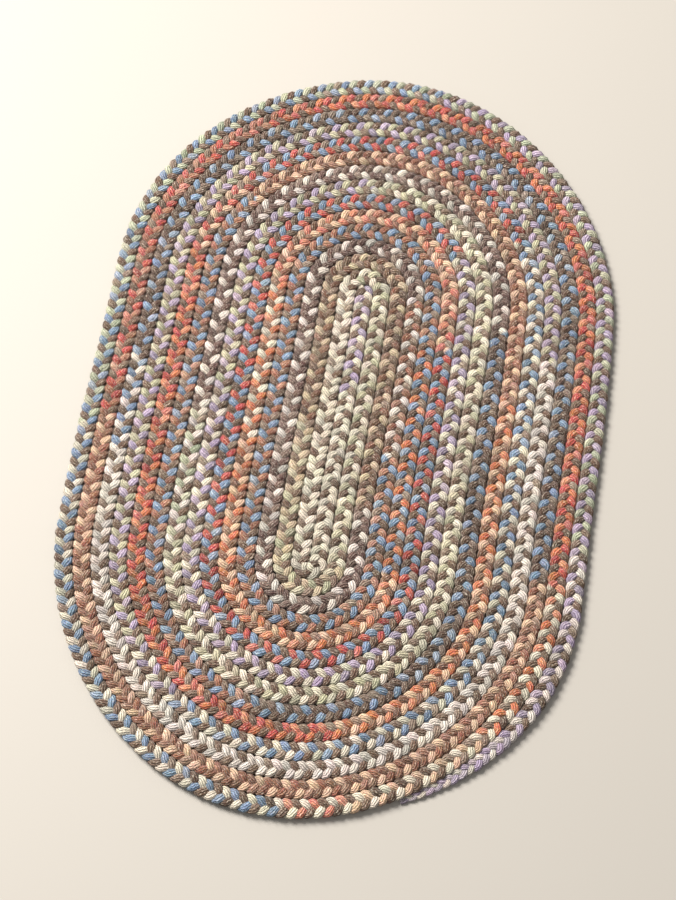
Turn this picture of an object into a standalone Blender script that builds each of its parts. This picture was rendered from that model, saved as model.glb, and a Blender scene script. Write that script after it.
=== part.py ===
"""Braided rug, made as one flat three-strand braid coiled outwards into an oval.

The braid starts at the far end of a straight core, runs down it, turns back beside
itself and goes on round and round, clockwise seen from above, until it thins out and
ends against the round before it.  Metres, +Z up, lying on Z = 0 with its length along Y.
"""

import math

import bpy

# Driving sizes
RUG_LENGTH = 0.914
RUG_WIDTH = 0.584
BRAID_THICKNESS = 0.011
ROUNDS = 14  # whole rounds of braid laid about the first straight run
ROUND_GAP = 0.0011  # open groove left between neighbouring rounds

# Sizes that follow from them
BRAIDS_ACROSS = 2 * ROUNDS + 1
PITCH = RUG_WIDTH / BRAIDS_ACROSS
BRAID_WIDTH = PITCH - ROUND_GAP
HALF_CORE = (RUG_LENGTH - (2 * ROUNDS + 0.5) * PITCH) / 2
CENTRE_SHIFT = -PITCH / 4  # the far end carries half a braid more than the near end

# Section of the braid: how much of its corners is rounded away
CORNER_WIDTH = 0.0042
CORNER_HEIGHT = 0.0036

# Blunt first end, tucked inside the first far turn
START_REACH = 0.4 * PITCH
START_SHARE = 0.6

# Tail, in degrees round the near end, and the share of the full braid left at its tip
TAIL_START = 20
TAIL_END = 61
TIP_SHARE = 0.2

# Unevenness of the hand-laid coil
SHOULDER_PULL = 0.018  # share by which the four shoulders draw in
SWAY = 0.0012
SWAY_WAVELENGTH = 0.38

# Route sampling
STEPS_PER_TURN = 18  # half turn at either end
STEPS_PER_RUN = 3  # straight run on either side

RUG_COLOUR = (0.33, 0.27, 0.22, 1.0)


def clear_scene():
    for obj in list(bpy.data.objects):
        bpy.data.objects.remove(obj, do_unlink=True)


def new_collection(name):
    collection = bpy.data.collections.new(name)
    bpy.context.scene.collection.children.link(collection)
    return collection


def yarn_material():
    material = bpy.data.materials.new("wool_yarn")
    material.use_nodes = True
    shader = material.node_tree.nodes["Principled BSDF"]
    shader.inputs["Base Color"].default_value = RUG_COLOUR
    shader.inputs["Roughness"].default_value = 0.95
    shader.inputs["Metallic"].default_value = 0.0
    material.diffuse_color = RUG_COLOUR
    return material


def straight_run(x, y_from, y_to):
    """Points down one side, without the last one, which the next turn brings."""
    for step in range(STEPS_PER_RUN):
        yield x, y_from + (y_to - y_from) * step / STEPS_PER_RUN


def half_turn(centre_x, centre_y, radius, start_degrees):
    """Points clockwise round one end, without the last one."""
    for step in range(STEPS_PER_TURN):
        angle = math.radians(start_degrees - 180 * step / STEPS_PER_TURN)
        yield centre_x + radius * math.cos(angle), centre_y + radius * math.sin(angle)


def tail_points():
    """Points round the near end as the braid thins: x, y and its share of full size."""
    inner_radius = ROUNDS * PITCH
    step_count = math.ceil(STEPS_PER_TURN * TAIL_END / 180)
    for step in range(step_count + 1):
        degrees = TAIL_END * step / step_count
        thinning = max(0.0, (degrees - TAIL_START) / (TAIL_END - TAIL_START))
        share = 1 - (1 - TIP_SHARE) * thinning
        radius = inner_radius + share * PITCH / 2
        angle = math.radians(-degrees)
        x = -PITCH / 2 + radius * math.cos(angle)
        yield x, -HALF_CORE + radius * math.sin(angle), share


def coil_points():
    """Middle line of the whole braid: x, y and share of full size, from core to tip.

    Turns at the near end are centred half a pitch left of those at the far end, so
    each round lands one pitch outside the one before it on both sides.
    """
    yield 0.0, HALF_CORE + START_REACH, START_SHARE
    for laid in range(ROUNDS):
        legs = (
            straight_run(laid * PITCH, HALF_CORE, -HALF_CORE),
            half_turn(-PITCH / 2, -HALF_CORE, (laid + 0.5) * PITCH, 0),
            straight_run(-(laid + 1) * PITCH, -HALF_CORE, HALF_CORE),
            half_turn(0.0, HALF_CORE, (laid + 1) * PITCH, 180),
        )
        for leg in legs:
            for x, y in leg:
                yield x, y, 1.0
    for x, y in straight_run(ROUNDS * PITCH, HALF_CORE, -HALF_CORE):
        yield x, y, 1.0
    yield from tail_points()


def lay_unevenly(x, y):
    """Draw the oval's shoulders in, let the coil sway a little, and centre it."""
    pull_x = math.sin(math.pi * y / RUG_LENGTH) ** 2
    pull_y = math.sin(math.pi * x / RUG_WIDTH) ** 2
    wave = 2 * math.pi / SWAY_WAVELENGTH
    uneven_x = x * (1 - SHOULDER_PULL * pull_x) + SWAY * math.sin(wave * y)
    uneven_y = y * (1 - SHOULDER_PULL * pull_y) + SWAY * math.sin(wave * x)
    return uneven_x, uneven_y + CENTRE_SHIFT


def braid_section(guides):
    """Closed outline of the braid, flat below, swept along the coil as its bevel."""
    half_width = BRAID_WIDTH / 2
    half_height = BRAID_THICKNESS / 2
    flat_width = half_width - CORNER_WIDTH
    flat_height = half_height - CORNER_HEIGHT
    outline = (
        (half_width, flat_height),
        (half_width, -flat_height),
        (flat_width, -half_height),
        (-flat_width, -half_height),
        (-half_width, -flat_height),
        (-half_width, flat_height),
        (-flat_width, half_height),
        (flat_width, half_height),
    )
    curve = bpy.data.curves.new("braid_section", "CURVE")
    curve.dimensions = "2D"
    curve.fill_mode = "NONE"
    spline = curve.splines.new("POLY")
    spline.points.add(len(outline) - 1)
    for point, (across, up) in zip(spline.points, outline):
        point.co = (across, up, 0.0, 1.0)
    spline.use_cyclic_u = True
    section = bpy.data.objects.new("braid_section", curve)
    section.hide_render = True
    section.display_type = "WIRE"
    guides.objects.link(section)
    return section


def coiled_braid(parts, section):
    """The rug itself: one bar of braid along the coil, every part of it on Z = 0."""
    curve = bpy.data.curves.new("braided_rug", "CURVE")
    curve.dimensions = "3D"
    curve.twist_mode = "Z_UP"
    curve.bevel_mode = "OBJECT"
    curve.bevel_object = section
    curve.use_fill_caps = True
    route = list(coil_points())
    spline = curve.splines.new("POLY")
    spline.points.add(len(route) - 1)
    for point, (x, y, share) in zip(spline.points, route):
        laid_x, laid_y = lay_unevenly(x, y)
        point.co = (laid_x, laid_y, share * BRAID_THICKNESS / 2, 1.0)
        point.radius = share
    rug = bpy.data.objects.new("braided_rug", curve)
    rug.data.materials.append(yarn_material())
    parts.objects.link(rug)
    return rug


def main():
    clear_scene()
    parts = new_collection("braided_rug")
    guides = new_collection("guides")
    section = braid_section(guides)
    coiled_braid(parts, section)


main()
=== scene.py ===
import math

import bpy
import numpy as np
from mathutils import Matrix, Vector


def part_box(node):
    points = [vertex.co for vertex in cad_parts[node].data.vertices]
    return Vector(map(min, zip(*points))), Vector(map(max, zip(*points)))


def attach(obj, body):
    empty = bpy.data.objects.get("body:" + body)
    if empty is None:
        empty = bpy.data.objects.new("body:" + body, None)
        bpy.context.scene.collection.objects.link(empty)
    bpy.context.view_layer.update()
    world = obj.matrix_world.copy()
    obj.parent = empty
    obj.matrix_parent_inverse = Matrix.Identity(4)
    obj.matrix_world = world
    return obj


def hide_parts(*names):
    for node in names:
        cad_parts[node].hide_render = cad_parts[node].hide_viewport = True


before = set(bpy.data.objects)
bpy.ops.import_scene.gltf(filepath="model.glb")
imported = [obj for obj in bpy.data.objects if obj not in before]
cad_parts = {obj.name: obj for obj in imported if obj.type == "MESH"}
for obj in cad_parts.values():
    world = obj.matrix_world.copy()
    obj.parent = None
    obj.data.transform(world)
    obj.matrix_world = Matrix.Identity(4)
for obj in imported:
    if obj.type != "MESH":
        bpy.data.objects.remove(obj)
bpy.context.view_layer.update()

rugLow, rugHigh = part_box("braided_rug")

# The coil that every strand follows: one flat braid laid clockwise from the core outwards.
coil = {
    "rounds": 14,            # whole rounds laid about the first straight run
    "startReach": 0.4,       # of a pitch, that the first end goes past the core
    "startShare": 0.6,       # of the full braid, at that first end
    "tailStart": 20,         # degrees round the near end where the braid thins
    "tailEnd": 61,
    "lateThinning": 1.4,     # 1 thins evenly, more keeps it full for longer
    "tipShare": 0.2,
    "shoulderPull": 0.018,   # share by which the four shoulders draw in
    "sway": 0.0012,
    "swayWavelength": 0.38,
    "ringStep": 0.0019,      # metres of braid between two rings of a strand's skin
}

rugWidth = rugHigh[0] - rugLow[0]
rugLength = rugHigh[1] - rugLow[1]
pitch = rugWidth / (2 * coil["rounds"] + 1)
halfCore = (rugLength - (2 * coil["rounds"] + 0.5) * pitch) / 2   # the near end has half a braid less
legSteps = 500               # points on each run and turn before they are spaced evenly


def unit(vectors):
    # each row divided by its own length
    return vectors / np.linalg.norm(vectors, axis=1)[:, None]


def runningLength(steps):
    # length from the first point to each point, out of the steps between them
    return np.concatenate([[0], np.cumsum(steps)])


def straightRun(x, yFrom, yTo, turnFrom):
    # a line down one side; the count of rounds grows by a quarter along it
    along = np.linspace(0, 1, legSteps, endpoint=False)
    return x + 0 * along, yFrom + (yTo - yFrom) * along, turnFrom + along / 4, 1 + 0 * along


def halfTurn(centreX, centreY, radius, startDegrees, turnFrom):
    # half a circle, clockwise, round one end of the core
    along = np.linspace(0, 1, legSteps, endpoint=False)
    angle = np.radians(startDegrees - 180 * along)
    x = centreX + radius * np.cos(angle)
    return x, centreY + radius * np.sin(angle), turnFrom + along / 4, 1 + 0 * along


def thinningTail():
    # the last arc: its radius falls with its share, so its inner edge keeps to the round before
    degrees = np.linspace(0, coil["tailEnd"], legSteps)
    tailSpan = coil["tailEnd"] - coil["tailStart"]
    thinning = np.clip((degrees - coil["tailStart"]) / tailSpan, 0, 1)
    share = 1 - (1 - coil["tipShare"]) * thinning ** coil["lateThinning"]
    radius = coil["rounds"] * pitch + share * pitch / 2
    angle = np.radians(-degrees)
    x = -pitch / 2 + radius * np.cos(angle)
    turn = coil["rounds"] + 0.25 + degrees / 720     # half a circle is a quarter of the count
    return x, -halfCore + radius * np.sin(angle), turn, share


def coilRoute():
    # middle line of the braid: runs and half turns end to end, near turns centred half a pitch left
    firstEnd = coil["startReach"] * pitch
    along = np.linspace(0, 1, legSteps, endpoint=False)
    startShare = coil["startShare"] + (1 - coil["startShare"]) * along
    legs = [(0 * along, halfCore + firstEnd * (1 - along), 0 * along, startShare)]
    for laid in range(coil["rounds"]):
        legs.append(straightRun(laid * pitch, halfCore, -halfCore, laid))
        legs.append(halfTurn(-pitch / 2, -halfCore, (laid + 0.5) * pitch, 0, laid + 0.25))
        legs.append(straightRun(-(laid + 1) * pitch, -halfCore, halfCore, laid + 0.5))
        legs.append(halfTurn(0, halfCore, (laid + 1) * pitch, 180, laid + 0.75))
    legs.append(straightRun(coil["rounds"] * pitch, halfCore, -halfCore, coil["rounds"]))
    legs.append(thinningTail())
    return np.concatenate([np.stack(leg, axis=1) for leg in legs])


def layUnevenly(x, y):
    # shoulders drawn in by a squared sine of the other axis, plus a slow sideways sway
    pullX = np.sin(np.pi * y / rugLength) ** 2
    pullY = np.sin(np.pi * x / rugWidth) ** 2
    wave = 2 * np.pi / coil["swayWavelength"]
    unevenX = x * (1 - coil["shoulderPull"] * pullX) + coil["sway"] * np.sin(wave * y)
    unevenY = y * (1 - coil["shoulderPull"] * pullY) + coil["sway"] * np.sin(wave * x)
    return unevenX, unevenY - pitch / 4              # the outline's middle goes to the origin


def spacedRoute():
    # the route at even steps of braid length: place, outward side, round laid, share of full size
    route = coilRoute()
    x, y = layUnevenly(route[:, 0], route[:, 1])
    length = runningLength(np.hypot(np.diff(x), np.diff(y)))
    ringCount = int(length[-1] / coil["ringStep"])
    along = np.linspace(0, length[-1], ringCount)
    place = np.stack([np.interp(along, length, line) for line in (x, y)], axis=1)
    heading = unit(np.gradient(place, axis=0))
    outward = np.stack([-heading[:, 1], heading[:, 0]], axis=1)
    turn = np.interp(along, length, route[:, 2])
    share = np.interp(along, length, route[:, 3])
    return {"along": along, "place": place, "outward": outward, "turn": turn, "share": share}


# The three strands of the braid.
plait = {
    "period": 0.0285,        # braid length in which a strand crosses over and back
    "swing": 0.0069,         # sideways reach of a strand's middle
    "swingThinning": 0.9,    # power of the braid's share by which its swing and rise shrink
    "straightness": 0.945,   # 0 swings as a plain sine, 1 as a zigzag
    "lag": 0.50,             # radians by which a strand rises after it sets out sideways
    "flatness": 0.20,        # how long a strand stays on top before it dives
    "rise": 0.0019,          # up and down reach of a strand's middle
    "halfWidth": 0.0043,     # of a strand, lying flat
    "halfHeight": 0.0032,
    "sizeThinning": 0.5,     # power of the braid's share by which a strand gets thinner
    "lowest": 0.0002,        # height above the floor of a strand's flat underside
    "pressed": 0.82,         # 1 is an ellipse, 0 a box
    "puff": 0.08,            # how much fuller a strand is between two crossings
    "phaseUneven": 0.20,     # radians
    "swingUneven": 0.06,
    "sizeUneven": 0.12,
    "fade": 0.22,            # most that a lobe is paler than its wool
    "fadeRarity": 2,         # powers by which pale and dark lobes are rare
    "deepen": 0.35,          # most that it is darker
    "deepenRarity": 1.5,
    "tintUneven": 0.04,      # share by which red, green and blue differ from lobe to lobe
    "around": 8,             # points round a strand's skin
    "seed": 7,
}

# Wools by name, as red, green and blue on a screen from 0 to 255.
wools = {
    "taupe": (116, 89, 73),
    "bark": (100, 75, 62),
    "plum": (108, 78, 73),
    "brown": (140, 95, 74),
    "rust": (162, 102, 80),
    "cinnamon": (178, 117, 92),
    "cream": (245, 236, 216),
    "white": (245, 234, 226),
    "sage": (205, 201, 170),
    "mint": (198, 206, 177),
    "beige": (214, 192, 160),
    "blue": (130, 160, 196),
    "lavender": (190, 172, 206),
    "heath": (204, 192, 208),
    "red": (204, 80, 72),
    "orange": (224, 126, 82),
    "peach": (244, 202, 170),
    "salmon": (230, 138, 114),
}

# Where each wool is sewn in: the round at which it starts, and its name.
strandWools = {
    "strand_one": (
        (0.00, "lavender"), (0.10, "cream"), (1.25, "sage"), (1.62, "brown"), (2.20, "plum"),
        (3.00, "rust"), (3.15, "cinnamon"), (4.05, "orange"), (4.75, "peach"), (5.045, "blue"),
        (5.957, "lavender"), (6.87, "cream"), (7.50, "white"), (7.62, "plum"), (8.02, "bark"),
        (8.39, "cinnamon"), (8.80, "rust"), (9.08, "orange"), (9.76, "peach"), (9.805, "blue"),
        (10.425, "lavender"), (11.04, "white"), (11.66, "bark"), (12.24, "rust"),
        (12.60, "cinnamon"), (12.83, "orange"), (13.305, "peach"), (13.35, "salmon"),
        (13.37, "blue"), (13.89, "lavender"),
    ),
    "strand_two": (
        (0.00, "cream"), (0.80, "sage"), (1.25, "beige"), (2.195, "white"), (3.15, "blue"),
        (4.25, "peach"), (4.60, "cream"), (4.75, "salmon"), (5.03, "red"), (5.957, "cream"),
        (6.64, "sage"), (7.50, "mint"), (7.62, "white"), (8.02, "blue"), (8.80, "peach"),
        (9.35, "red"), (9.96, "cream"), (10.45, "sage"), (11.04, "white"), (11.57, "blue"),
        (12.24, "peach"), (12.60, "red"), (13.24, "cream"), (13.59, "mint"), (14.21, "white"),
    ),
    "strand_three": (
        (0.00, "taupe"), (2.20, "plum"), (3.00, "taupe"), (4.25, "brown"), (5.03, "taupe"),
        (7.62, "plum"), (8.02, "bark"), (8.39, "taupe"), (8.80, "brown"), (9.35, "taupe"),
        (11.66, "bark"), (12.24, "brown"), (12.60, "taupe"), (14.298, "heath"),
    ),
}


def linearColour(screenColour):
    # a screen value to linear light: its 2.2 power
    return (np.array(screenColour) / 255) ** 2.2


def woolAlong(turn, chart):
    # the colour of the last wool sewn in at or before each round
    starts = np.array([start for start, name in chart])
    colours = np.array([linearColour(wools[name]) for start, name in chart])
    return colours[np.searchsorted(starts, turn, side="right") - 1]


def dyedWool(turn, chart, tint):
    # a lobe with a tint above zero is mixed with cream, one below zero is darkened, each by a
    # power of its first tint, and then all three tints move its red, green and blue a little
    fade = plait["fade"] * np.clip(tint[:, :1], 0, 1) ** plait["fadeRarity"]
    dyed = woolAlong(turn, chart)
    dyed = dyed * (1 - fade) + linearColour(wools["cream"]) * fade
    dyed = dyed * (1 - plait["deepen"] * np.clip(-tint[:, :1], 0, 1) ** plait["deepenRarity"])
    return dyed * (1 + plait["tintUneven"] * tint)


def strandLine(route, strandNumber):
    # the middle swings across the braid as a sine straightened towards a zigzag, the arcsine of a
    # share of the sine, and rises as a later sine of twice the angle, its crests flattened
    rng = np.random.default_rng(plait["seed"] + strandNumber)
    angle = 2 * np.pi * (route["along"] / plait["period"] - strandNumber / 3)
    lobe = angle / np.pi + 2
    lobeCount = int(lobe[-1]) + 2
    wander = {
        key: np.interp(lobe, np.arange(lobeCount), rng.uniform(-1, 1, lobeCount))
        for key in ("phase", "swing", "size")
    }
    angle = angle + plait["phaseUneven"] * wander["phase"]
    # where the braid thins, its strands draw together faster than they grow thin
    swingShare = route["share"] ** plait["swingThinning"]
    sizeShare = route["share"] ** plait["sizeThinning"]
    straightness = plait["straightness"]
    zigzag = np.arcsin(straightness * np.sin(angle)) / np.arcsin(straightness)
    across = swingShare * plait["swing"] * (1 + plait["swingUneven"] * wander["swing"]) * zigzag
    middle = sizeShare * plait["halfHeight"] * (1 + plait["puff"]) + swingShare * plait["rise"]
    wave = np.sin(2 * angle - plait["lag"])
    wave = wave * (1 + plait["flatness"] * (1 - wave ** 2))
    height = middle + swingShare * plait["rise"] * wave
    line = np.column_stack([route["place"] + route["outward"] * across[:, None], height])
    fullness = 1 - plait["puff"] + 2 * plait["puff"] * np.abs(np.sin(2 * angle))
    size = sizeShare * fullness * (1 + plait["sizeUneven"] * wander["size"])
    tint = rng.uniform(-1, 1, (lobeCount, 3))[np.clip(lobe.astype(int), 0, lobeCount - 1)]
    return line, size, tint


def strandSkin(line, size):
    # an ellipse pressed towards a box, its sines and cosines raised to a power below one,
    # is carried along the strand with its wide side kept level
    heading = unit(np.gradient(line, axis=0))
    sideways = unit(np.stack([-heading[:, 1], heading[:, 0], 0 * heading[:, 0]], axis=1))
    upward = np.cross(heading, sideways)
    angle = np.linspace(0, 2 * np.pi, plait["around"], endpoint=False)
    cosine, sine = np.cos(angle), np.sin(angle)
    flat = np.sign(cosine) * np.abs(cosine) ** plait["pressed"] * plait["halfWidth"]
    tall = np.sign(sine) * np.abs(sine) ** plait["pressed"] * plait["halfHeight"]
    flat = flat[None, :, None] * sideways[:, None, :]
    tall = tall[None, :, None] * upward[:, None, :]
    skin = line[:, None, :] + size[:, None, None] * (flat + tall)
    skin[:, :, 2] = np.maximum(skin[:, :, 2], plait["lowest"])
    return skin


def tubeFaces(ringCount, around):
    # quads between neighbouring rings, with the side wrapped round, facing outwards
    ring = np.arange(ringCount - 1)[:, None] * around
    side = np.arange(around)[None, :]
    following = (side + 1) % around
    quads = np.stack([ring + side, ring + following,
                      ring + around + following, ring + around + side], axis=-1)
    return quads.reshape(-1, 4)


def newPiece(name, points, faces, woolColour):
    # a mesh with the colour of its wool at every point
    mesh = bpy.data.meshes.new(name)
    mesh.from_pydata(points.reshape(-1, 3).tolist(), [], faces)
    layer = mesh.attributes.new("wool", "FLOAT_COLOR", "POINT")
    layer.data.foreach_set("color", woolColour.ravel())
    piece = bpy.data.objects.new(name, mesh)
    bpy.context.collection.objects.link(piece)
    return piece


def layOutYarn(mesh, line, ringCount, around):
    # each quad's place on the strand: turns round it, and metres down it; the end caps stay at 0
    strandLength = runningLength(np.linalg.norm(np.diff(line, axis=0), axis=1))
    ring = np.repeat(np.arange(ringCount - 1), around)
    side = np.tile(np.arange(around), ringCount - 1)
    roundIt = np.stack([side, side + 1, side + 1, side], axis=1) / around
    down = strandLength[np.stack([ring, ring, ring + 1, ring + 1], axis=1)]
    layout = np.zeros((len(mesh.loops), 2))
    layout[:roundIt.size, 0] = roundIt.ravel()
    layout[:roundIt.size, 1] = down.ravel()
    mesh.uv_layers.new(name="yarn").data.foreach_set("uv", layout.ravel())


def strandPiece(name, strandNumber, route):
    line, size, tint = strandLine(route, strandNumber)
    skin = strandSkin(line, size)
    ringCount, around = skin.shape[:2]
    firstRing = np.arange(around)
    caps = [firstRing[::-1].tolist(), (firstRing + (ringCount - 1) * around).tolist()]
    woolColour = np.ones((ringCount, around, 4))
    woolColour[:, :, :3] = dyedWool(route["turn"], strandWools[name], tint)[:, None, :]
    faces = tubeFaces(ringCount, around).tolist() + caps
    piece = newPiece(name, skin, faces, woolColour)
    layOutYarn(piece.data, line, ringCount, around)
    piece.data.shade_smooth()
    return piece, skin, woolColour


# Loose fibres that stand out of the strands.
fuzz = {
    "fibres": 45000,         # in each of the two halves
    "shortest": 0.0012,
    "longest": 0.0062,
    "rarity": 2,             # power by which long ones are rare
    "radius": 0.00007,       # at the root; a fibre tapers to nothing
    "scatter": 0.25,         # how far its root lies off a ring, out of two rings' step
    "lift": 0.55,            # how steeply a fibre leaves its strand
    "stray": 0.75,           # how far it turns off the strand's own run
    "paler": 0.12,           # share of cream in it
    "lowestRoot": 0.0035,    # height below which the strands are hidden and carry none
    "lowestTip": 0.0003,
    "roughness": 0.8,
    "specular": 0.3,
    "seed": 21,
}


def fuzzPiece(name, number, skins, colours):
    # thin four-faced spikes, rooted on the upper skin and leaning along the strand
    rng = np.random.default_rng(fuzz["seed"] + number)
    count = fuzz["fibres"]
    skin = np.concatenate([part[1:-1] for part in skins])
    middle = skin.mean(axis=1)
    onward = np.concatenate([part[2:].mean(axis=1) - part[:-2].mean(axis=1) for part in skins])
    colour = np.concatenate([part[1:-1] for part in colours])
    upper = np.argwhere(skin[:, :, 2] > np.maximum(middle[:, None, 2], fuzz["lowestRoot"]))
    ring, side = upper[rng.integers(0, len(upper), count)].T
    following = (side + 1) % skin.shape[1]
    blend = rng.random((count, 1))
    root = skin[ring, side] * (1 - blend) + skin[ring, following] * blend
    root += onward[ring] * rng.uniform(-fuzz["scatter"], fuzz["scatter"], (count, 1))
    outward = unit(root - middle[ring])
    run = unit(onward[ring]) * rng.choice([-1, 1], (count, 1))
    lean = run + fuzz["lift"] * outward * rng.random((count, 1))
    lean = unit(lean + fuzz["stray"] * rng.uniform(-0.5, 0.5, (count, 3)))
    reach = rng.random((count, 1)) ** fuzz["rarity"]
    length = fuzz["shortest"] + (fuzz["longest"] - fuzz["shortest"]) * reach
    tip = root + lean * length
    tip[:, 2] = np.maximum(tip[:, 2], fuzz["lowestTip"])
    across = unit(np.cross(lean, outward))
    third = np.cross(lean, across)
    points = np.empty((count, 4, 3))
    for corner in range(3):
        angle = 2 * math.pi * corner / 3
        aside = math.cos(angle) * across + math.sin(angle) * third
        points[:, corner] = root + fuzz["radius"] * aside
    points[:, 3] = tip
    corners = np.array([[0, 1, 3], [1, 2, 3], [2, 0, 3], [2, 1, 0]])
    faces = (np.arange(count)[:, None, None] * 4 + corners[None]).reshape(-1, 3)
    cream = np.append(linearColour(wools["cream"]), 1)
    dyed = colour[ring, side] * (1 - fuzz["paler"]) + cream * fuzz["paler"]
    return newPiece(name, points, faces.tolist(), np.repeat(dyed[:, None, :], 4, axis=1))


def newGroup(name, inputs, outputs):
    # an empty shader group; each socket is its name, kind and default
    group = bpy.data.node_groups.new(name, "ShaderNodeTree")
    for socketName, kind, value in inputs:
        socket = group.interface.new_socket(socketName, in_out="INPUT", socket_type=kind)
        if value is not None:
            socket.default_value = value
    for socketName, kind in outputs:
        group.interface.new_socket(socketName, in_out="OUTPUT", socket_type=kind)
    nodes = group.nodes
    return group, nodes.new("NodeGroupInput"), nodes.new("NodeGroupOutput")


def addMath(tree, operation, *values):
    # a Math node fed by numbers or sockets
    node = tree.nodes.new("ShaderNodeMath")
    node.operation = operation
    for socket, value in zip(node.inputs, values):
        if isinstance(value, (int, float)):
            socket.default_value = value
        else:
            tree.links.new(value, socket)
    return node.outputs[0]


def addWave(tree, turns):
    # the size of a sine that comes back to nothing at every whole turn
    sine = addMath(tree, "SINE", addMath(tree, "MULTIPLY", turns, math.pi))
    return addMath(tree, "ABSOLUTE", sine)


def addLimit(tree, value):
    # the value kept between nought and one
    return addMath(tree, "MINIMUM", addMath(tree, "MAXIMUM", value, 0.0), 1.0)


def addCloud(group, scale, detail):
    # noise from nought to one, through the space that the rug lies in
    place = group.nodes.new("ShaderNodeTexCoord")
    cloud = group.nodes.new("ShaderNodeTexNoise")
    cloud.inputs["Scale"].default_value = scale
    cloud.inputs["Detail"].default_value = detail
    group.links.new(place.outputs["Object"], cloud.inputs["Vector"])
    return cloud.outputs["Fac"]


# The yarns that a strand is twisted from.
yarn = {
    "yarns": 10.0,           # side by side round a strand
    "slant": 45.0,           # yarns that a metre straight down the strand crosses
    "ply": 330.0,            # plies to the metre
    "wobble": 150.0,         # scale of the noise that bends them
    "wobbleDetail": 1.0,
    "crown": 0.75,           # power of the wave across a yarn: less is fuller
    "plyCrown": 0.6,         # the same for a ply
    "plyDepth": 0.35,        # share of a yarn's height that a ply cuts in
    "winding": 0.35,         # yarns that a fibre crosses with each ply
    "grains": 520.0,         # streaks to the metre
    "grainDetail": 2.0,
    "grainRoughness": 0.6,
    "grainDrift": 5.0,
    "fleckGrains": 2.6,      # streaks across one yarn
    "fibreGrains": 15.0,
    "fleckHeight": 0.20,
    "fibreHeight": 0.30,
}


def addStreaks(group, phase, onward, drift, acrossYarn):
    # noise drawn out along the yarn: so many grains across one yarn, and so many to the metre
    stretched = group.nodes.new("ShaderNodeCombineXYZ")
    group.links.new(addMath(group, "MULTIPLY", phase, acrossYarn), stretched.inputs["X"])
    group.links.new(addMath(group, "MULTIPLY", onward, yarn["grains"]), stretched.inputs["Y"])
    group.links.new(addMath(group, "MULTIPLY", drift, yarn["grainDrift"]), stretched.inputs["Z"])
    noise = group.nodes.new("ShaderNodeTexNoise")
    noise.inputs["Scale"].default_value = 1.0
    noise.inputs["Detail"].default_value = yarn["grainDetail"]
    noise.inputs["Roughness"].default_value = yarn["grainRoughness"]
    group.links.new(stretched.outputs["Vector"], noise.inputs["Vector"])
    return addMath(group, "SUBTRACT", noise.outputs["Fac"], 0.5)


def twistedYarnGroup():
    # yarns side by side round the strand, each of its own tone: a yarn's height is a power of a
    # wave across it, times what a power of a faster wave along it leaves, plus flecks drawn out
    # along it and fibres that wind about it
    group, given, result = newGroup(
        "twisted_yarn",
        [("Layout", "NodeSocketVector", None), ("Yarns", "NodeSocketFloat", yarn["yarns"]),
         ("Slant", "NodeSocketFloat", yarn["slant"]), ("Ply", "NodeSocketFloat", yarn["ply"])],
        [("Height", "NodeSocketFloat"), ("Groove", "NodeSocketFloat"), ("Tone", "NodeSocketFloat"),
         ("Fleck", "NodeSocketFloat"), ("Fibre", "NodeSocketFloat")],
    )
    links = group.links
    split = group.nodes.new("ShaderNodeSeparateXYZ")
    links.new(given.outputs["Layout"], split.inputs[0])
    onward = split.outputs["Y"]
    drift = addCloud(group, yarn["wobble"], yarn["wobbleDetail"])
    roundIt = addMath(group, "MULTIPLY", split.outputs["X"], given.outputs["Yarns"])
    phase = addMath(group, "MULTIPLY_ADD", onward, given.outputs["Slant"], roundIt)
    phase = addMath(group, "ADD", drift, phase)
    crown = addMath(group, "POWER", addWave(group, phase), yarn["crown"])
    plyTurn = addMath(group, "MULTIPLY_ADD", onward, given.outputs["Ply"], phase)
    ply = addMath(group, "POWER", addWave(group, plyTurn), yarn["plyCrown"])
    left = addMath(group, "MULTIPLY_ADD", ply, yarn["plyDepth"], 1 - yarn["plyDepth"])
    twisted = addMath(group, "MULTIPLY", crown, left)
    winding = addMath(group, "MULTIPLY_ADD", plyTurn, yarn["winding"], phase)
    fleck = addStreaks(group, phase, onward, drift, yarn["fleckGrains"])
    fibre = addStreaks(group, winding, onward, drift, yarn["fibreGrains"])
    height = addMath(group, "MULTIPLY_ADD", fleck, yarn["fleckHeight"], twisted)
    height = addMath(group, "MULTIPLY_ADD", fibre, yarn["fibreHeight"], height)
    links.new(height, result.inputs["Height"])
    links.new(addMath(group, "SUBTRACT", 1.0, twisted), result.inputs["Groove"])
    tone = group.nodes.new("ShaderNodeTexWhiteNoise")
    tone.noise_dimensions = "1D"
    links.new(addMath(group, "FLOOR", phase), tone.inputs["W"])
    links.new(tone.outputs["Value"], result.inputs["Tone"])
    links.new(fleck, result.inputs["Fleck"])
    links.new(fibre, result.inputs["Fibre"])
    return group


def addMix(tree, factor, first, second):
    # a colour mix fed by sockets
    node = tree.nodes.new("ShaderNodeMix")
    node.data_type = "RGBA"
    for socket, value in ((node.inputs[0], factor), (node.inputs[6], first), (node.inputs[7], second)):
        tree.links.new(value, socket)
    return node.outputs[2]


# The mix of fibres in a dyed wool.
heather = {
    "paleFibre": (0.90, 0.82, 0.70, 1),
    "darkFibre": (0.065, 0.036, 0.026, 1),
    "marl": 2.6,             # how much of a fleck is pale or dark fibre
    "fineness": 1.5,         # the same for the fine streaks
    "hues": 0.09,            # share of the colour circle that the hue drifts over
    "hueScale": 260.0,
    "hueDetail": 2.0,
}


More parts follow.
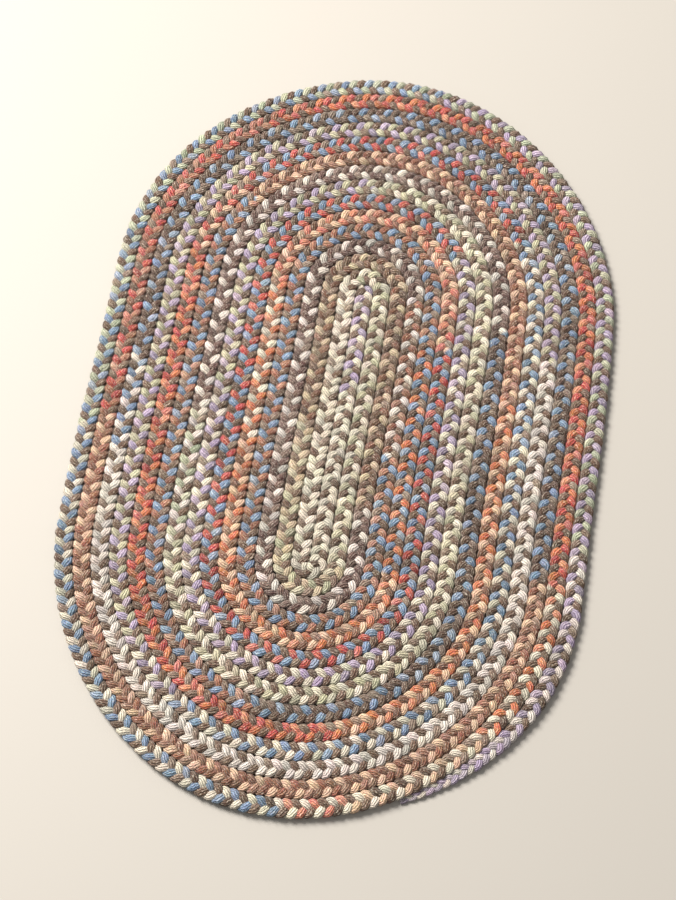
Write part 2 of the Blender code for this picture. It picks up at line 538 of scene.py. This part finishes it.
def heatherGroup():
    # dyed wool is never one colour: pale and dark fibres are spun into it and its hue drifts
    group, given, result = newGroup(
        "wool_heather",
        [("Colour", "NodeSocketColor", (0.5, 0.5, 0.5, 1)), ("Fleck", "NodeSocketFloat", 0.0),
         ("Fibre", "NodeSocketFloat", 0.0),
         ("Pale Fibre", "NodeSocketColor", heather["paleFibre"]),
         ("Dark Fibre", "NodeSocketColor", heather["darkFibre"]),
         ("Marl", "NodeSocketFloat", heather["marl"]),
         ("Fineness", "NodeSocketFloat", heather["fineness"]),
         ("Hues", "NodeSocketFloat", heather["hues"])],
        [("Colour", "NodeSocketColor")],
    )
    links = group.links
    cloud = addCloud(group, heather["hueScale"], heather["hueDetail"])
    marl = addMath(group, "MULTIPLY", given.outputs["Fleck"], given.outputs["Marl"])
    fine = addMath(group, "MULTIPLY", given.outputs["Fibre"], given.outputs["Fineness"])
    pale = addMath(group, "ADD", marl, fine)
    change = group.nodes.new("ShaderNodeHueSaturation")
    links.new(given.outputs["Colour"], change.inputs["Color"])
    drift = addMath(group, "SUBTRACT", cloud, 0.5)
    hue = addMath(group, "MULTIPLY_ADD", drift, given.outputs["Hues"], 0.5)   # 0.5 is no change
    links.new(hue, change.inputs["Hue"])
    lighter = addLimit(group, pale)
    darker = addLimit(group, addMath(group, "MULTIPLY", pale, -1.0))
    spun = addMix(group, lighter, change.outputs["Color"], given.outputs["Pale Fibre"])
    spun = addMix(group, darker, spun, given.outputs["Dark Fibre"])
    links.new(spun, result.inputs["Colour"])
    return group


# Finish of the wool, the same for every strand, with the shade painted into the grooves between its
# yarns.
woolFinishAndShade = {
    "roughness": 1.0,
    "specular": 0.08,
    "sheen": 0.15,
    "sheenRoughness": 0.6,
    "bumpDistance": 0.0014,
    "toneSpread": 0.34,      # how far one yarn is lighter or darker than its neighbour
    "paintedGrooveShade": 0.60,     # painted shade: how much the wool's colour is darkened in the grooves between yarns and plies
}


def addDye(tree):
    # the wool's own colour, which each piece carries at its points
    dye = tree.nodes.new("ShaderNodeAttribute")
    dye.attribute_name = "wool"
    return dye.outputs["Color"]


def woolMaterial(yarnGroup, mixGroup):
    material = bpy.data.materials.new("braided_wool")
    material.use_nodes = True
    tree = material.node_tree
    links = tree.links
    shader = tree.nodes["Principled BSDF"]
    shader.inputs["Roughness"].default_value = woolFinishAndShade["roughness"]
    shader.inputs["Sheen Weight"].default_value = woolFinishAndShade["sheen"]
    shader.inputs["Sheen Roughness"].default_value = woolFinishAndShade["sheenRoughness"]
    shader.inputs["Specular IOR Level"].default_value = woolFinishAndShade["specular"]
    layout = tree.nodes.new("ShaderNodeUVMap")
    layout.uv_map = "yarn"
    spun = tree.nodes.new("ShaderNodeGroup")
    spun.node_tree = yarnGroup
    links.new(layout.outputs["UV"], spun.inputs["Layout"])
    mixed = tree.nodes.new("ShaderNodeGroup")
    mixed.node_tree = mixGroup
    links.new(addDye(tree), mixed.inputs["Colour"])
    links.new(spun.outputs["Fleck"], mixed.inputs["Fleck"])
    links.new(spun.outputs["Fibre"], mixed.inputs["Fibre"])
    spread = woolFinishAndShade["toneSpread"]
    tone = addMath(tree, "MULTIPLY_ADD", spun.outputs["Tone"], spread, 1 - spread / 2)
    # painted shade: the colour is darkened in the grooves between yarns and plies, where less light
    # falls
    shade = addMath(tree, "MULTIPLY_ADD", spun.outputs["Groove"], -woolFinishAndShade["paintedGrooveShade"], 1.0)
    # each yarn's random tone and the painted groove shade together scale the colour's value
    tonedAndShaded = tree.nodes.new("ShaderNodeHueSaturation")
    links.new(mixed.outputs["Colour"], tonedAndShaded.inputs["Color"])
    links.new(addMath(tree, "MULTIPLY", tone, shade), tonedAndShaded.inputs["Value"])
    links.new(tonedAndShaded.outputs["Color"], shader.inputs["Base Color"])
    bump = tree.nodes.new("ShaderNodeBump")
    bump.inputs["Distance"].default_value = woolFinishAndShade["bumpDistance"]
    links.new(spun.outputs["Height"], bump.inputs["Height"])
    links.new(bump.outputs["Normal"], shader.inputs["Normal"])
    return material


def fibreMaterial():
    material = bpy.data.materials.new("loose_fibre")
    material.use_nodes = True
    tree = material.node_tree
    shader = tree.nodes["Principled BSDF"]
    shader.inputs["Roughness"].default_value = fuzz["roughness"]
    shader.inputs["Specular IOR Level"].default_value = fuzz["specular"]
    tree.links.new(addDye(tree), shader.inputs["Base Color"])
    return material


# Where the camera stands.
view = {
    "aim": (0.000, -0.035, 0.0),
    "azimuth": 6.62,         # degrees from the near end towards the right
    "elevation": 66.9,
    "roll": 2.36,
    "distance": 2.136,
    "lens": 76,
    "farthest": 50,
}


def addCamera():
    azimuth, elevation, roll = (math.radians(view[key]) for key in ("azimuth", "elevation", "roll"))
    back = Vector((math.sin(azimuth) * math.cos(elevation),
                   -math.cos(azimuth) * math.cos(elevation), math.sin(elevation)))
    level = Vector((math.cos(azimuth), math.sin(azimuth), 0))
    right = level * math.cos(roll) + back.cross(level) * math.sin(roll)
    turned = Matrix((right, back.cross(right), back)).transposed().to_4x4()
    data = bpy.data.cameras.new("camera")
    data.lens = view["lens"]
    data.clip_end = view["farthest"]
    camera = bpy.data.objects.new("camera", data)
    camera.matrix_world = Matrix.Translation(Vector(view["aim"]) + back * view["distance"]) @ turned
    bpy.context.collection.objects.link(camera)
    bpy.context.scene.camera = camera


# Warm daylight from one soft window, and the pale floor that the rug lies on.
studio = {
    "skyColour": (1.0, 0.97, 0.93, 1),
    "skyStrength": 0.42,
    "windowPlace": (-2.4, 1.5, 3.1),     # it faces the middle of the rug
    "windowSize": 1.9,
    "windowPower": 385,
    "windowColour": (1.0, 0.95, 0.88),
    "floorSize": 60,
    "floorColour": (0.43, 0.41, 0.38, 1),
    "floorRoughness": 0.6,
}


def addSky():
    world = bpy.data.worlds.new("studio")
    world.use_nodes = True
    background = world.node_tree.nodes["Background"]
    background.inputs["Color"].default_value = studio["skyColour"]
    background.inputs["Strength"].default_value = studio["skyStrength"]
    bpy.context.scene.world = world


def addWindow():
    data = bpy.data.lights.new("window", "AREA")
    data.shape = "SQUARE"
    data.size = studio["windowSize"]
    data.energy = studio["windowPower"]
    data.color = studio["windowColour"]
    place = Vector(studio["windowPlace"])
    lamp = bpy.data.objects.new("window", data)
    lamp.location = place
    lamp.rotation_euler = (-place).to_track_quat("-Z", "Y").to_euler()
    bpy.context.collection.objects.link(lamp)


def addFloor():
    bpy.ops.mesh.primitive_plane_add(size=studio["floorSize"], location=(0, 0, 0))
    floor = bpy.context.object
    floor.name = "floor"
    paint = bpy.data.materials.new("pale_floor")
    paint.use_nodes = True
    shader = paint.node_tree.nodes["Principled BSDF"]
    shader.inputs["Base Color"].default_value = studio["floorColour"]
    shader.inputs["Roughness"].default_value = studio["floorRoughness"]
    floor.data.materials.append(paint)


bpy.context.scene.view_settings.view_transform = "Standard"
addCamera()
addSky()
addWindow()
addFloor()
print("studio ready")

route = spacedRoute()
print("braid laid,", round(float(route["along"][-1]), 2), "m long")

wool = woolMaterial(twistedYarnGroup(), heatherGroup())
strands, skins, colours = [], [], []
for strandNumber, strandName in enumerate(strandWools):
    strand, skin, colour = strandPiece(strandName, strandNumber, route)
    strand.data.materials.append(wool)
    strands.append(strand)
    skins.append(skin)
    colours.append(colour)
    print(strandName, "plaited,", len(strand.data.polygons), "faces")

fibre = fibreMaterial()
hairs = []
for half, hairName in enumerate(("fuzz_core", "fuzz_border")):
    # the strands are shared out at the ring where half their length is laid
    spans = [slice(0, len(skin) // 2), slice(len(skin) // 2, len(skin))]
    hair = fuzzPiece(hairName, half, [skin[spans[half]] for skin in skins],
                     [colour[spans[half]] for colour in colours])
    hair.data.materials.append(fibre)
    hairs.append(hair)
    print(hairName, "raised,", len(hair.data.polygons), "faces")

for piece in strands + hairs:
    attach(piece, "root")
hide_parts("braided_rug")
